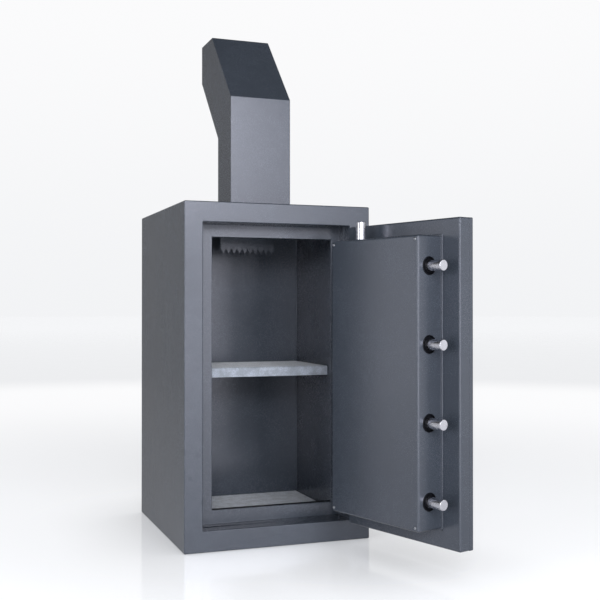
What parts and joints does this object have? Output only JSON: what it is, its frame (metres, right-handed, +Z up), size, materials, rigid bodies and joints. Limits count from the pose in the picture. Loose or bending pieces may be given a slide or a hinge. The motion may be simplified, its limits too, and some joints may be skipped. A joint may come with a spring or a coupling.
{
  "type": "gooseneck safe",
  "caption": "Graphite steel drop safe with its recessed door open, chrome locking bolts, a carpeted shelf and floor, and a square gooseneck deposit duct that turns back over the roof.",
  "frame": {"origin": "middle of the cabinet's underside", "axes": "X to the right, -Y out of the front, Z up, with the safe standing upright"},
  "size_m": [0.5757, 0.9901, 1.405],
  "materials": {
    "paint": "semi_gloss_textured",
    "chamber_paint": "satin",
    "composite": "matte",
    "chrome": "polished",
    "steel": "satin",
    "nylon": "satin",
    "carpet": "looped_pile"
  },
  "bodies": {
    "cabinet": {"cabinet_shell": "paint", "cabinet_fill": "composite", "jamb_frame": "paint", "inner_liner": "chamber_paint", "gooseneck_housing": "paint", "fish_baffle": "chamber_paint", "flap_pin": "steel", "shelf_board": "chamber_paint", "shelf_carpet": "carpet", "shelf_clip_1": "steel", "shelf_clip_2": "steel", "shelf_clip_3": "steel", "shelf_clip_4": "steel", "floor_carpet": "carpet", "hinge_frame_lower": "paint", "hinge_frame_upper": "paint", "hinge_pin_lower": "steel", "hinge_pin_upper": "steel"},
    "door": {"hinge_strap_lower": "paint", "hinge_strap_upper": "paint", "door_plate": "paint", "door_shell": "paint", "door_fill": "composite", "bolt_pan": "paint", "pan_screw_1": "paint", "pan_screw_2": "paint", "pan_screw_3": "paint", "pan_screw_4": "paint", "pan_pillar_1": "steel", "pan_pillar_2": "steel", "pan_pillar_3": "steel", "pan_pillar_4": "steel", "bolt_bushing_1": "nylon", "bolt_bushing_2": "nylon", "bolt_bushing_3": "nylon", "bolt_bushing_4": "nylon", "top_bolt_bushing": "nylon", "bolt_guide": "steel", "top_bolt_guide": "steel", "dial_ring": "steel", "lock_case": "steel"},
    "handle": {"handle_hub": "chrome", "handle_spoke_1": "chrome", "handle_spoke_2": "chrome", "handle_spoke_3": "chrome", "handle_spindle": "steel", "cam_plate": "steel"},
    "side_bolts": {"side_bolt_1": "chrome", "side_bolt_2": "chrome", "side_bolt_3": "chrome", "side_bolt_4": "chrome", "bolt_bar": "steel"},
    "top_bolt": {"top_bolt": "chrome", "top_bolt_link": "steel"},
    "dial": {"dial": "nylon", "dial_spindle": "steel"},
    "flap": {"drop_flap": "steel"}
  },
  "joints": [
    {"name": "door_swing", "type": "hinge", "parent": "cabinet", "child": "door", "pos_m": [0.227, -0.2855, 0.444], "axis": [0, 0, 1], "range_deg": [-107, 18]},
    {"name": "handle_turn", "type": "hinge", "parent": "door", "child": "handle", "pos_m": [0.25909, -0.49476, 0.4], "axis": [-0.9563, -0.2924, 0], "range_deg": [0, 90]},
    {"name": "side_bolt_throw", "type": "slide", "parent": "door", "child": "side_bolts", "axis": [-0.2924, 0.9563, 0], "range_m": [0, 0.04]},
    {"name": "top_bolt_throw", "type": "slide", "parent": "door", "child": "top_bolt", "axis": [0, 0, -1], "range_m": [0, 0.04]},
    {"name": "dial_spin", "type": "hinge", "parent": "door", "child": "dial", "pos_m": [0.25909, -0.49476, 0.5743], "axis": [0.9563, 0.2924, 0], "continuous": true},
    {"name": "flap_swing", "type": "hinge", "parent": "cabinet", "child": "flap", "pos_m": [0, 0.1874, 1.3928], "axis": [-1, 0, 0], "range_deg": [0, 75]}
  ],
  "couplings": [
    {"joint": "side_bolt_throw", "follows": "handle_turn", "m_per_rad": 0.02546},
    {"joint": "top_bolt_throw", "follows": "handle_turn", "m_per_rad": 0.02546}
  ]
}
